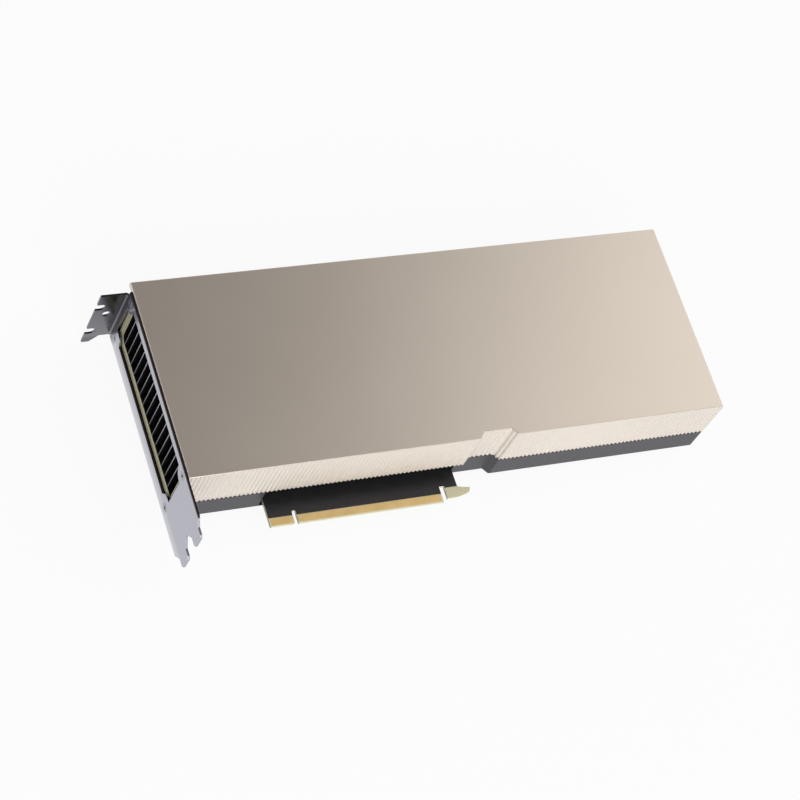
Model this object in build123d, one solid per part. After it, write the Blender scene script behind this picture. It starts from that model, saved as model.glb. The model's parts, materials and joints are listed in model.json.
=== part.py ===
from build123d import *
import math
import os

# Dual-slot passive accelerator card lying on its back tray, shroud upwards.
# The working axes are the card's own: X runs from the outer face of the
# bracket to the air intake, Y from the edge of the contact tab to the card's
# top edge, Z from the underside of the tray to the shroud's flat face.
# All sizes are in millimetres.

# Card envelope
card_length = 267.7
card_thickness = 39.0
wall_line_y = 12.7
card_top_y = 110.5

# Bracket
bracket_sheet = 1.0
bracket_gap = 0.2
bracket_width = 38.74
bracket_edge_drop = 0.5
bracket_top_y = 107.7
bracket_body_low_y = -5.0
tongue_tip_y = -13.42
tongue_neck_y = -8.6
tongue_width = 10.19
tongue_tip_bevel = 1.3
slot_pitch = 20.32
tongue_drop = 9.3
flange_depth = 12.4
flange_start_drop = 3.4
flange_end_rise = 0.7
fold_inner_radius = 0.8
notch_width = 4.42
notch_depth = 4.3
notch_drop = 13.4
flange_finger_width = 3.4
flange_finger_reach = 4.0
flange_hole_radius = 1.95
flange_hole_reach = 6.4
flange_hole_drop = 19.5
window_low_y = 15.7
window_high_y = 103.0
window_rim = 4.5
window_span = 28.0
window_high_ear = 5.0
window_low_ear = 6.2

# Shroud
shroud_plate = 1.5
shroud_wall = 1.5
shroud_lip = 0.6
rib_pitch = 2.1
rib_depth = 0.6
edge_break = 0.25
corner_length = 5.5
corner_depth = 4.4
corner_plate = 2.5

# Latch relief in the near wall, measured from the bracket's outer face
relief_start = 143.6
relief_length = 13.4
relief_depth = 3.2
relief_chamfer = 2.5

# Tray
tray_height = 13.5
tray_floor = 1.2
tray_wall = 1.5
tray_edge_bevel = 0.6
tray_cut_gap = 0.4
tray_cut_lead = 1.5

# Circuit board and its contact tab
board_thickness = 1.57
board_back_gap = 2.68
board_end_gap = 1.8
board_edge_gap = 0.3
key_distance = 57.15
key_width = 1.9
key_depth = 6.5
short_tab = 11.65
long_tab = 71.65
tab_bevel_length = 0.6
tab_bevel_depth = 0.35
latch_slot_width = 2.55
latch_slot_depth = 7.9
hook_length = 12.6
hook_low_y = 1.6
hook_flat = 3.4
hook_rise = 1.85
hook_nose = 1.2
hook_tip_y = 5.6
hook_high_y = 6.6
neck_length = 8.95
neck_radius = 0.9
contact_pitch = 1.0
contact_width = 0.7
contact_low_y = 0.65
contact_length = 3.45
contact_thickness = 0.08
key_to_contact = 1.5
short_contacts = 11
long_contacts = 71

# Heat sink
heatsink_front_gap = 0.3
heatsink_rear_gap = 27.5
heatsink_near_gap = 5.0
heatsink_far_gap = 7.7
heatsink_lift = 2.35
heatsink_plate = 3.8
heatsink_near_side = 0.6
heatsink_far_side = 3.8
heatsink_fillet = 3.4
heatsink_notch_gap = 0.5
fin_pitch = 5.14
fin_sheet = 0.5
fin_top_gap = 1.3
stud_radius = 2.6
stud_reach = 33.0
stud_tap_depth = 2.0
foam_width = 8.0
foam_inset = 8.0

# Processor package
processor_x = 140.0
processor_y = 62.0
package_thickness = 1.2
die_length = 33.0
die_width = 25.0
die_thickness = 0.7
memory_length = 11.0
memory_width = 7.8
memory_gap = 0.8
ring_width = 4.0
ring_gap = 2.4
ring_thickness = 0.9

# Parts on the board
inductor_offset = 40.0
inductor_length = 8.0
inductor_width = 7.0
inductor_height = 4.0
inductor_pocket_gap = 0.3
stage_offset = 49.0
stage_length = 5.0
stage_width = 6.0
stage_height = 0.9
capacitor_offset = 57.5
capacitor_length = 4.3
capacitor_width = 7.3
capacitor_height = 1.9
row_pitch = 10.5
row_count = 6
chip_height = 1.2
controller_size = 12.0
monitor_size = 8.0
chip_offset = 82.0
chip_spacing = 22.0
back_pad_length = 42.0
back_pad_width = 14.0
back_pad_spacing = 62.0
sheet_thickness = 0.2
sheet_gap = 0.5

# Power connector at the intake end
connector_y = 86.0
connector_pitch = 4.2
connector_columns = 4
connector_rows = 2
connector_wall = 1.0
connector_depth = 20.0
connector_back = 6.0
connector_inset = 0.5
connector_latch_width = 7.0
connector_latch_height = 1.4
pin_size = 1.1
pin_length = 11.0

# Rear frame
frame_sheet = 2.5
frame_gap = 0.15
frame_ear = 4.5
frame_sill = 11.0
frame_head = 3.5
frame_cutout_gap = 0.6
support_hole_radius = 1.25
support_z = 19.5
support_inset_y = 3.4

# Fasteners
screw_radius = 1.25
screw_clearance = 0.15
flat_head_radius = 2.1
flat_head_height = 0.9
flat_head_step = 0.2
socket_radius = 0.85
socket_depth = 0.6
pan_head_radius = 2.2
pan_head_height = 1.1
end_boss_length = 8.0
end_boss_height = 6.3
end_boss_gap = 0.3
end_screw_near_inset = 3.6
end_screw_far_inset = 8.2
end_screw_drop = 4.6
end_screw_rise = 4.6
end_screw_length = 7.0
post_half = 1.8
post_blind_end = 1.0
post_inset = 2.9
post_gap = 0.5
boss_height = 10.0
post_screw_length = 20.0
post_front_inset = 22.0
post_rear_inset = 20.5
post_relief_gap = 16.2
standoff_radius = 2.5
board_screw_front_inset = 26.8
board_screw_rear_inset = 31.7
board_screw_edge_inset = 12.0
board_screw_length = 2.8

# Small and hidden round pieces are faceted, to keep the model light
bar_sides = 6
head_sides = 8

# How far a cutting shape stands out beyond what it cuts
overrun = 1.0

# Places that follow from the sizes above
shroud_x0 = bracket_sheet + bracket_gap
shroud_inner_near = wall_line_y + shroud_wall
shroud_inner_far = card_top_y - shroud_wall
tray_inner_near = wall_line_y + tray_wall
tray_inner_far = card_top_y - tray_wall
shroud_under_z = card_thickness - shroud_plate
corner_x = shroud_x0 + corner_length
corner_y = card_top_y - corner_depth
relief_end = relief_start + relief_length
bracket_z1 = card_thickness - bracket_edge_drop
bracket_z0 = bracket_z1 - bracket_width
board_z0 = board_back_gap
board_z1 = board_z0 + board_thickness
key_x = bracket_sheet + key_distance
tab_x0 = key_x - key_width / 2 - short_tab
tab_x1 = key_x + key_width / 2 + long_tab
hook_x0 = tab_x1 + latch_slot_width
neck_x = tab_x1 + neck_length
frame_x0 = card_length - frame_sheet
board_x0 = shroud_x0 + board_end_gap
board_x1 = frame_x0 - board_edge_gap
board_near = tray_inner_near + board_edge_gap
board_far = tray_inner_far - board_edge_gap
board_relief = wall_line_y + relief_depth + tray_wall + board_edge_gap
heatsink_x0 = shroud_x0 + heatsink_front_gap
heatsink_x1 = card_length - heatsink_rear_gap
heatsink_y0 = wall_line_y + heatsink_near_gap
heatsink_y1 = card_top_y - heatsink_far_gap
heatsink_z0 = board_z1 + heatsink_lift
heatsink_z1 = heatsink_z0 + heatsink_plate
fin_top_z = shroud_under_z - fin_top_gap
memory_reach = die_width / 2 + memory_gap + memory_width
package_size = 2 * (memory_reach + ring_gap + ring_width)
package_top = board_z1 + package_thickness
die_top = package_top + die_thickness
near_post_y = wall_line_y + post_inset
far_post_y = card_top_y - post_inset
post_front_x = shroud_x0 + post_front_inset
post_rear_x = card_length - post_rear_inset
post_places = [(x, near_post_y) for x in (post_front_x, relief_end + post_relief_gap, post_rear_x)]
post_places += [(x, far_post_y) for x in (post_front_x, (post_front_x + post_rear_x) / 2, post_rear_x)]
board_screw_places = [(x, y)
                      for x in (shroud_x0 + board_screw_front_inset, card_length - board_screw_rear_inset)
                      for y in (board_near + board_screw_edge_inset, board_far - board_screw_edge_inset)]
stud_places = [(processor_x + sx * stud_reach, processor_y + sy * stud_reach)
               for sx in (-1, 1) for sy in (-1, 1)]
fins_near_y = heatsink_y0 + heatsink_near_side
fins_far_y = heatsink_y1 - heatsink_far_side
end_boss_near_y = fins_near_y - end_boss_gap
end_boss_far_y = fins_far_y + end_boss_gap
end_boss_low_z = shroud_under_z - end_boss_height
end_screw_near_y = wall_line_y + end_screw_near_inset
end_screw_far_y = card_top_y - end_screw_far_inset
end_screw_high_z = card_thickness - end_screw_drop
end_screw_places = [(y, z) for y in (end_screw_near_y, end_screw_far_y)
                    for z in (end_screw_rise, end_screw_high_z)]

# The part's origin is the middle of its footprint, on the surface below it
lowest_z = bracket_z0 - flange_finger_reach
origin = (
    (card_length - flange_depth) / 2,
    (card_top_y + tongue_tip_y) / 2,
    lowest_z,
)


# Building helpers

def block(x0, x1, y0, y1, z0, z1):
    """A box between two corners."""
    size = Box(x1 - x0, y1 - y0, z1 - z0)
    return Pos((x0 + x1) / 2, (y0 + y1) / 2, (z0 + z1) / 2) * size


def prism(points, z0, z1):
    """A closed outline seen from above, carried from z0 to z1."""
    outline = Polyline(*points, close=True)
    return Pos(0, 0, z0) * extrude(make_face(outline), z1 - z0, dir=(0, 0, 1))


def bar(radius, length, sides=bar_sides):
    """A faceted round bar standing on Z = 0."""
    return extrude(RegularPolygon(radius, sides), length, dir=(0, 0, 1))


def upright(radius, x, y, z0, z1, sides=bar_sides):
    """A faceted bar or hole along Z."""
    return Pos(x, y, z0) * bar(radius, z1 - z0, sides)


def level(radius, x0, x1, y, z, sides=bar_sides):
    """A faceted bar or hole along X."""
    return Pos(x0, y, z) * Rot(0, 90, 0) * bar(radius, x1 - x0, sides)


def round_level(radius, x0, x1, y, z):
    """A true round bar or hole along X."""
    return Pos((x0 + x1) / 2, y, z) * Rot(0, 90, 0) * Cylinder(radius, x1 - x0)


def countersink(head_radius, shank_radius):
    """The tapering part of a flat head, widest at Z = 0."""
    narrowing = head_radius - shank_radius - flat_head_step
    slope = narrowing * math.cos(math.pi / head_sides) / flat_head_height
    return extrude(RegularPolygon(head_radius, head_sides), flat_head_height,
                   taper=math.degrees(math.atan(slope)))


def flat_head_screw(length):
    """A countersunk screw pointing along +Z, its head flush with Z = 0."""
    head = countersink(flat_head_radius, screw_radius)
    shank = upright(screw_radius, 0, 0, flat_head_height, length)
    return head + shank - bar(socket_radius, socket_depth, 6)


def flat_head_seat(depth):
    """The hole that a countersunk screw sits in, from Z = 0 upwards."""
    head_radius = flat_head_radius + screw_clearance
    shank_radius = screw_radius + screw_clearance
    below = upright(head_radius, 0, 0, -overrun, 0, head_sides)
    shank = upright(shank_radius, 0, 0, flat_head_height, depth)
    return countersink(head_radius, shank_radius) + below + shank


def pan_head_screw(length):
    """A low round-headed screw: head above Z = 0, shank below."""
    return bar(pan_head_radius, pan_head_height) + upright(screw_radius, 0, 0, -length, 0)


def post(x, y, near_wall, far_wall, half, z0, z1):
    """A square post standing against the nearer long wall."""
    if y < processor_y:
        return block(x - half, x + half, near_wall, y + half, z0, z1)
    return block(x - half, x + half, y - half, far_wall, z0, z1)


def ribbed(corners):
    """Points of a run of V ribs along straight stretches, crests on the line."""
    points = [corners[0]]
    for (x0, y0), (x1, y1) in zip(corners, corners[1:]):
        run = math.hypot(x1 - x0, y1 - y0)
        count = max(1, round(run / rib_pitch))
        inward = (-(y1 - y0) / run * rib_depth, (x1 - x0) / run * rib_depth)
        for i in range(count):
            mid = (i + 0.5) / count
            end = (i + 1) / count
            points.append((x0 + (x1 - x0) * mid + inward[0], y0 + (y1 - y0) * mid + inward[1]))
            points.append((x0 + (x1 - x0) * end, y0 + (y1 - y0) * end))
    return points


# Shroud: champagne aluminium channel with ribbed sides

def near_wall_corners(x0, x1, inset):
    """The near wall's line with its relief, moved inwards by inset."""
    spread = inset / 2
    y = wall_line_y + inset
    return [
        (x0, y),
        (relief_start - relief_chamfer - spread, y),
        (relief_start - spread, y + relief_depth),
        (relief_end + spread, y + relief_depth),
        (relief_end + relief_chamfer + spread, y),
        (x1, y),
    ]


def far_wall_inside(x0, x1, wall):
    """The far wall's inner line, from the rear to the notch beside the bracket's fold."""
    return [
        (x1, card_top_y - wall),
        (corner_x + wall, card_top_y - wall),
        (corner_x + wall, corner_y - wall),
        (x0, corner_y - wall),
    ]


def make_top_shroud():
    x0 = shroud_x0
    x1 = card_length
    near = near_wall_corners(x0, x1, 0)
    far = [(x1, card_top_y), (x0, card_top_y)]
    corner = [(corner_x, corner_y), (x0, corner_y)]
    lip_z = card_thickness - shroud_lip
    ribbed_far = ribbed([(x1, card_top_y), (corner_x, card_top_y)])
    sides = prism(ribbed(near) + ribbed_far + corner, tray_height, lip_z)
    plain = prism(near + far, lip_z, card_thickness)
    top_edges = plain.edges().group_by(Axis.Z)[-1]
    plain = chamfer(top_edges, edge_break)
    inside = near_wall_corners(x0 - overrun, x1 + overrun, shroud_wall)
    inside += far_wall_inside(x0 - overrun, x1 + overrun, shroud_wall)
    shell = sides + plain - prism(inside, tray_height - overrun, shroud_under_z)
    shell = shell + block(x0, corner_x, corner_y, card_top_y, card_thickness - corner_plate, lip_z)

    # Columns down the inside of the walls, which the tray's screws bite into
    columns = []
    holes = []
    top = tray_height + boss_height
    for x, y in post_places:
        columns.append(post(x, y, shroud_inner_near, shroud_inner_far, post_half, tray_height, top))
        holes.append(upright(screw_radius, x, y, tray_height - overrun, top - post_blind_end))

    # Corner blocks for the bracket's and the rear frame's screws
    for face_x, inner_x in end_boss_spans():
        for y0, y1 in end_boss_widths(face_x, shroud_wall):
            columns.append(block(min(face_x, inner_x), max(face_x, inner_x), y0, y1,
                                 end_boss_low_z, shroud_under_z))
        for y in (end_screw_near_y, end_screw_far_y):
            reach = math.copysign(end_screw_length, inner_x - face_x)
            start, end = sorted((face_x, face_x + reach))
            holes.append(level(screw_radius, start, end, y, end_screw_high_z))
    body = shell
    for column in columns:
        body = body + column
    for hole in holes:
        body = body - hole
    return body


def end_boss_spans():
    """Where the screw blocks start and end along X, at the bracket and at the rear."""
    return [
        (shroud_x0, shroud_x0 + end_boss_length),
        (frame_x0, frame_x0 - end_boss_length),
    ]


def end_boss_widths(face_x, wall):
    """The blocks' widths at one end of the card, from each wall to just short of the fins."""
    far_y = corner_y if face_x < corner_x else card_top_y
    return [
        (wall_line_y + wall, end_boss_near_y),
        (end_boss_far_y, far_y - wall),
    ]


# Tray: dark aluminium back cover, its wall cut away where the contact tab passes

def make_base_tray():
    x0 = shroud_x0
    x1 = card_length
    cut_x0 = tab_x0 - tray_cut_lead
    cut_x1 = neck_x + tray_cut_gap
    relief_y = wall_line_y + relief_depth
    outline = [
        (x0, wall_line_y),
        (cut_x1, wall_line_y),
        (cut_x1, relief_y),
        (relief_end, relief_y),
        (relief_end + relief_chamfer, wall_line_y),
        (x1, wall_line_y),
        (x1, card_top_y),
        (corner_x, card_top_y),
        (corner_x, corner_y),
        (x0, corner_y),
    ]
    outer = prism(outline, 0, tray_height)
    long_edges = outer.edges().group_by(Axis.Z)[0].filter_by(Axis.X).group_by(Axis.Y)
    outer = chamfer(long_edges[0] + long_edges[-1], tray_edge_bevel)

    spread = tray_wall / 2
    inner_relief = relief_y + tray_wall
    inside = [
        (x0 - overrun, tray_inner_near),
        (cut_x0 - tray_wall, tray_inner_near),
        (cut_x0 - tray_wall, inner_relief),
        (relief_end + spread, inner_relief),
        (relief_end + relief_chamfer + spread, tray_inner_near),
        (x1 + overrun, tray_inner_near),
    ] + far_wall_inside(x0 - overrun, x1 + overrun, tray_wall)
    body = outer - prism(inside, tray_floor, tray_height + overrun)
    mouth = block(cut_x0, cut_x1, wall_line_y - overrun, inner_relief + overrun,
                  tray_floor, tray_height + overrun)
    body = body - mouth

    for x, y in post_places:
        body = body + post(x, y, tray_inner_near, tray_inner_far, post_half, tray_floor, tray_height)
        body = body - Pos(x, y, 0) * flat_head_seat(tray_height + overrun)

    boss_top = heatsink_z0 - end_boss_gap
    for face_x, inner_x in end_boss_spans():
        start, end = sorted((face_x, inner_x))
        for y0, y1 in end_boss_widths(face_x, tray_wall):
            body = body + block(start, end, y0, y1, tray_floor, boss_top)
        reach = math.copysign(end_screw_length, inner_x - face_x)
        start, end = sorted((face_x, face_x + reach))
        for y in (end_screw_near_y, end_screw_far_y):
            body = body - level(screw_radius, start, end, y, end_screw_rise)
    return body


# Bracket: one folded steel sheet with two tongues, a vent window and a flange

def bracket_outline():
    """The flat part's outline as (y, z) points, from the near upper corner round."""
    fold_y = bracket_top_y - bracket_sheet - fold_inner_radius
    points = [(fold_y, bracket_z1), (bracket_body_low_y, bracket_z1)]
    for slot in range(2):
        middle = card_thickness - tongue_drop - slot * slot_pitch
        high = middle + tongue_width / 2
        low = middle - tongue_width / 2
        points += [
            (tongue_neck_y, high),
            (tongue_tip_y + tongue_tip_bevel, high),
            (tongue_tip_y, high - tongue_tip_bevel),
            (tongue_tip_y, low + tongue_tip_bevel),
            (tongue_tip_y + tongue_tip_bevel, low),
            (tongue_neck_y, low),
        ]
        if slot == 0:
            root = middle - slot_pitch / 2
            points += [(bracket_body_low_y, root + bracket_sheet), (bracket_body_low_y, root - bracket_sheet)]
    points += [(bracket_body_low_y, bracket_z0), (fold_y, bracket_z0)]
    return points


def sheet_across_x(points, x0, x1):
    """An outline of (y, z) points carried along X."""
    face = make_face(Polyline(*[(0, y, z) for y, z in points], close=True))
    return Pos(x0, 0, 0) * extrude(face, x1 - x0, dir=(1, 0, 0))


def make_vent_window(x0, x1):
    """The window: a rectangle with a round ear left standing around each screw."""
    top_z = card_thickness - window_rim
    window = block(x0, x1, window_low_y, window_high_y, top_z - window_span, top_z)
    for y, z in end_screw_places:
        ear = window_low_ear if z == end_screw_rise else window_high_ear
        window = window - round_level(ear, x0 - overrun, x1 + overrun, y, z)
    return window


def make_flange():
    z1 = bracket_z1 - flange_start_drop
    z0 = bracket_z0 + flange_end_rise
    outer_radius = bracket_sheet + fold_inner_radius
    fold_y = bracket_top_y - outer_radius
    turn = math.sqrt(0.5)

    # The section of the fold: along the bracket, round the bend and outwards
    with_arcs = [
        Line((0, fold_y), (bracket_sheet, fold_y)),
        ThreePointArc(
            (bracket_sheet, fold_y),
            (bracket_sheet - outer_radius * (1 - turn), fold_y + outer_radius * turn),
            (bracket_sheet - outer_radius, bracket_top_y),
        ),
        Line((bracket_sheet - outer_radius, bracket_top_y), (-flange_depth, bracket_top_y)),
        Line((-flange_depth, bracket_top_y), (-flange_depth, bracket_top_y - bracket_sheet)),
        Line((-flange_depth, bracket_top_y - bracket_sheet),
             (-fold_inner_radius, bracket_top_y - bracket_sheet)),
        ThreePointArc(
            (-fold_inner_radius, bracket_top_y - bracket_sheet),
            (-fold_inner_radius * (1 - turn), fold_y + fold_inner_radius * turn),
            (0, fold_y),
        ),
    ]
    section = make_face(Wire(with_arcs))
    flange = Pos(0, 0, z0) * extrude(section, z1 - z0, dir=(0, 0, 1))
    finger = block(-flange_depth, -flange_depth + flange_finger_width,
                   bracket_top_y - bracket_sheet, bracket_top_y, bracket_z0 - flange_finger_reach, z0)
    flange = flange + finger

    def hole_along_y(radius, x, z):
        middle_y = bracket_top_y - bracket_sheet / 2
        return Pos(x, middle_y, z) * Rot(90, 0, 0) * Cylinder(radius, bracket_sheet + 2 * overrun)

    half = notch_width / 2
    for slot in range(2):
        z = card_thickness - notch_drop - slot * slot_pitch
        end_x = -flange_depth + notch_depth - half
        flange = flange - hole_along_y(half, end_x, z)
        flange = flange - block(-flange_depth - overrun, end_x, bracket_top_y - bracket_sheet - overrun,
                                bracket_top_y + overrun, z - half, z + half)
    hole_z = card_thickness - flange_hole_drop
    return flange - hole_along_y(flange_hole_radius, -flange_hole_reach, hole_z)


def make_mounting_bracket():
    plate = sheet_across_x(bracket_outline(), 0, bracket_sheet)
    plate = plate - make_vent_window(-overrun, bracket_sheet + overrun)
    plate = plate + make_flange()
    for y, z in end_screw_places:
        plate = plate - Pos(0, y, z) * Rot(0, 90, 0) * flat_head_seat(bracket_sheet + overrun)
    return plate


# Circuit board, its edge contacts and what is soldered to it

def board_outline():
    slot_x0 = tab_x1
    hook_end = hook_x0 + hook_length
    hook_turn = hook_end - hook_nose
    notch = end_boss_length + shroud_x0 + board_edge_gap
    rear_notch = frame_x0 - end_boss_length - board_edge_gap
    near_step = end_boss_near_y + board_edge_gap
    far_step = end_boss_far_y - board_edge_gap
    relief_exit = relief_end + relief_chamfer + tray_wall / 2 + board_edge_gap
    shoulder_x = tab_x0 - tray_cut_lead - tray_wall - board_edge_gap
    key_x0 = key_x - key_width / 2
    key_x1 = key_x + key_width / 2
    round_key = key_width / 2
    neck_turn = neck_radius * (1 - math.sqrt(0.5))
    edges = [
        Line((board_x0, far_step), (board_x0, near_step)),
        Line((board_x0, near_step), (notch, near_step)),
        Line((notch, near_step), (notch, board_near)),
        Line((notch, board_near), (shoulder_x, board_near)),
        Line((shoulder_x, board_near), (shoulder_x, board_relief)),
        Line((shoulder_x, board_relief), (tab_x0, board_relief)),
        Line((tab_x0, board_relief), (tab_x0, 0)),
        Line((tab_x0, 0), (key_x0, 0)),
        Line((key_x0, 0), (key_x0, key_depth - round_key)),
        ThreePointArc((key_x0, key_depth - round_key), (key_x, key_depth), (key_x1, key_depth - round_key)),
        Line((key_x1, key_depth - round_key), (key_x1, 0)),
        Line((key_x1, 0), (slot_x0, 0)),
        Line((slot_x0, 0), (slot_x0, latch_slot_depth)),
        Line((slot_x0, latch_slot_depth), (hook_x0, latch_slot_depth)),
        Line((hook_x0, latch_slot_depth), (hook_x0, hook_low_y)),
        Line((hook_x0, hook_low_y), (hook_x0 + hook_flat, hook_low_y)),
        ThreePointArc(
            (hook_x0 + hook_flat, hook_low_y),
            ((hook_x0 + hook_flat + hook_turn) / 2, hook_low_y + hook_rise * 0.3),
            (hook_turn, hook_low_y + hook_rise),
        ),
        Line((hook_turn, hook_low_y + hook_rise), (hook_end, hook_tip_y)),
        Line((hook_end, hook_tip_y), (neck_x + neck_radius, hook_high_y)),
        ThreePointArc(
            (neck_x + neck_radius, hook_high_y),
            (neck_x + neck_turn, hook_high_y + neck_turn),
            (neck_x, hook_high_y + neck_radius),
        ),
        Line((neck_x, hook_high_y + neck_radius), (neck_x, board_relief)),
        Line((neck_x, board_relief), (relief_exit, board_relief)),
        Line((relief_exit, board_relief), (relief_exit, board_near)),
        Line((relief_exit, board_near), (rear_notch, board_near)),
        Line((rear_notch, board_near), (rear_notch, near_step)),
        Line((rear_notch, near_step), (board_x1, near_step)),
        Line((board_x1, near_step), (board_x1, far_step)),
        Line((board_x1, far_step), (rear_notch, far_step)),
        Line((rear_notch, far_step), (rear_notch, board_far)),
        Line((rear_notch, board_far), (notch, board_far)),
        Line((notch, board_far), (notch, far_step)),
        Line((notch, far_step), (board_x0, far_step)),
    ]
    return make_face(Wire(edges))


def post_reliefs(z0, z1):
    """What a flat sheet loses where the tray's posts pass its long edges."""
    return [post(x, y, tray_inner_near - overrun, tray_inner_far + overrun, post_half + post_gap, z0, z1)
            for x, y in post_places]


def tab_bevels():
    """The wedges taken off both faces of the tab's leading edge."""
    slope = tab_bevel_depth / tab_bevel_length
    wedge = [
        (-overrun, board_z1 - tab_bevel_depth - overrun * slope),
        (tab_bevel_length, board_z1),
        (tab_bevel_length, board_z1 + overrun),
        (-overrun, board_z1 + overrun),
    ]
    turned = [(y, board_z0 + board_z1 - z) for y, z in wedge]
    return [sheet_across_x(outline, tab_x0 - overrun, tab_x1 + overrun) for outline in (wedge, turned)]


def make_circuit_board():
    board = Pos(0, 0, board_z0) * extrude(board_outline(), board_thickness, dir=(0, 0, 1))
    for cut in post_reliefs(board_z0 - overrun, board_z1 + overrun) + tab_bevels():
        board = board - cut
    for x, y in board_screw_places + stud_places:
        board = board - upright(screw_radius + screw_clearance, x, y,
                                board_z0 - overrun, board_z1 + overrun)
    return board


def contact_columns():
    """Middle of each contact along the tab: a short run, the key, a long run."""
    before = [key_x - key_to_contact - contact_pitch * i for i in range(short_contacts)]
    after = [key_x + key_to_contact + contact_pitch * i for i in range(long_contacts)]
    return sorted(before) + after


def make_contacts(z0):
    half = contact_width / 2
    return [block(x - half, x + half, contact_low_y, contact_low_y + contact_length,
                  z0, z0 + contact_thickness) for x in contact_columns()]


def component_rows(offset, length, width, z0, z1):
    """Like parts in a row on each side of the processor."""
    parts = []
    for side in (-1, 1):
        x = processor_x + side * offset
        for i in range(row_count):
            y = processor_y + (i - (row_count - 1) / 2) * row_pitch
            parts.append(block(x - length / 2, x + length / 2, y - width / 2, y + width / 2, z0, z1))
    return parts


def centred(x, y, length, width, z0, z1):
    return block(x - length / 2, x + length / 2, y - width / 2, y + width / 2, z0, z1)


def make_stiffener_ring():
    outer = centred(processor_x, processor_y, package_size, package_size,
                    package_top, package_top + ring_thickness)
    opening = package_size - 2 * ring_width
    inner = centred(processor_x, processor_y, opening, opening,
                    package_top - overrun, package_top + ring_thickness + overrun)
    return outer - inner


def memory_places():
    """Three stacks on each side of the processor die."""
    reach = memory_reach - memory_width / 2
    return [(processor_x + column * (memory_length + memory_gap), processor_y + side * reach)
            for column in (-1, 0, 1) for side in (-1, 1)]


def make_memory_stacks():
    return [centred(x, y, memory_length, memory_width, package_top, die_top) for x, y in memory_places()]


def make_interface_pad():
    """The compound between the die, the memory and the heat sink."""
    length = die_length + 2 * memory_gap
    return centred(processor_x, processor_y, length, 2 * memory_reach, die_top, heatsink_z0)


def make_stage_pads():
    """One soft strip over each row of power stages."""
    run = (row_count - 1) * row_pitch + stage_width
    return [centred(processor_x + side * stage_offset, processor_y, stage_length, run,
                    board_z1 + stage_height, heatsink_z0) for side in (-1, 1)]


def make_controller_chips():
    """The controller towards the bracket, and a smaller chip at each of four corners round it all."""
    front_x = processor_x - chip_offset
    rear_x = processor_x + chip_offset
    chips = [centred(front_x, processor_y, controller_size, controller_size,
                     board_z1, board_z1 + chip_height)]
    for x in (front_x, rear_x):
        for side in (-1, 1):
            chips.append(centred(x, processor_y + side * chip_spacing, monitor_size, monitor_size,
                                 board_z1, board_z1 + chip_height))
    return chips


# Heat sink: plate with side walls, and sheet fins brazed between them

def make_heatsink_base():
    x0 = heatsink_x0
    x1 = heatsink_x1
    turn = heatsink_fillet * (1 - math.sqrt(0.5))
    section = [
        Line((0, heatsink_y0, heatsink_z0), (0, heatsink_y1, heatsink_z0)),
        Line((0, heatsink_y1, heatsink_z0), (0, heatsink_y1, fin_top_z)),
        Line((0, heatsink_y1, fin_top_z), (0, fins_far_y, fin_top_z)),
        Line((0, fins_far_y, fin_top_z), (0, fins_far_y, heatsink_z1 + heatsink_fillet)),
        ThreePointArc(
            (0, fins_far_y, heatsink_z1 + heatsink_fillet),
            (0, fins_far_y - turn, heatsink_z1 + turn),
            (0, fins_far_y - heatsink_fillet, heatsink_z1),
        ),
        Line((0, fins_far_y - heatsink_fillet, heatsink_z1), (0, fins_near_y, heatsink_z1)),
        Line((0, fins_near_y, heatsink_z1), (0, fins_near_y, fin_top_z)),
        Line((0, fins_near_y, fin_top_z), (0, heatsink_y0, fin_top_z)),
        Line((0, heatsink_y0, fin_top_z), (0, heatsink_y0, heatsink_z0)),
    ]
    base = Pos(x0, 0, 0) * extrude(make_face(Wire(section)), x1 - x0, dir=(1, 0, 0))

    # The side walls step back from the shroud's screw blocks at the bracket
    notch_x = shroud_x0 + end_boss_length + heatsink_notch_gap
    notch_z = end_boss_low_z - heatsink_notch_gap
    for y0, y1 in ((heatsink_y0, fins_near_y), (fins_far_y, heatsink_y1)):
        base = base - block(x0 - overrun, notch_x, y0 - overrun, y1 + overrun, notch_z, fin_top_z + overrun)
    gap = inductor_pocket_gap
    pocket_width = (row_count - 1) * row_pitch + inductor_width + 2 * gap
    for side in (-1, 1):
        base = base - centred(processor_x + side * inductor_offset, processor_y,
                              inductor_length + 2 * gap, pocket_width,
                              heatsink_z0 - overrun, board_z1 + inductor_height + gap)
    for x, y in stud_places:
        base = base + upright(stud_radius, x, y, board_z1, heatsink_z0)
        base = base - upright(screw_radius, x, y, board_z1 - overrun, heatsink_z0 + stud_tap_depth)
    return base


def fin_faces():
    """The far face of each fin, from the near side wall up to the far one's fillet."""
    count = int((fins_far_y - heatsink_fillet - fins_near_y) / fin_pitch)
    return [fins_near_y + (i + 1) * fin_pitch for i in range(count)]


def make_heatsink_fins():
    """Plain sheets brazed upright on the plate, so that air runs straight between them."""
    return [block(heatsink_x0, heatsink_x1, y - fin_sheet, y, heatsink_z1, fin_top_z)
            for y in fin_faces()]


def make_foam_strips():
    """Foam that seals the fins to the shroud, so that no air slips past."""
    starts = [heatsink_x0 + foam_inset, heatsink_x1 - foam_inset - foam_width]
    return [block(x, x + foam_width, heatsink_y0, heatsink_y1, fin_top_z, shroud_under_z)
            for x in starts]


# Tray lining, pads and spacers under the board

def back_pad_places():
    return [(processor_x + i * back_pad_spacing, processor_y) for i in (-1, 0, 1)]


def make_back_pads():
    return [centred(x, y, back_pad_length, back_pad_width, tray_floor, board_z0)
            for x, y in back_pad_places()]


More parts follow.
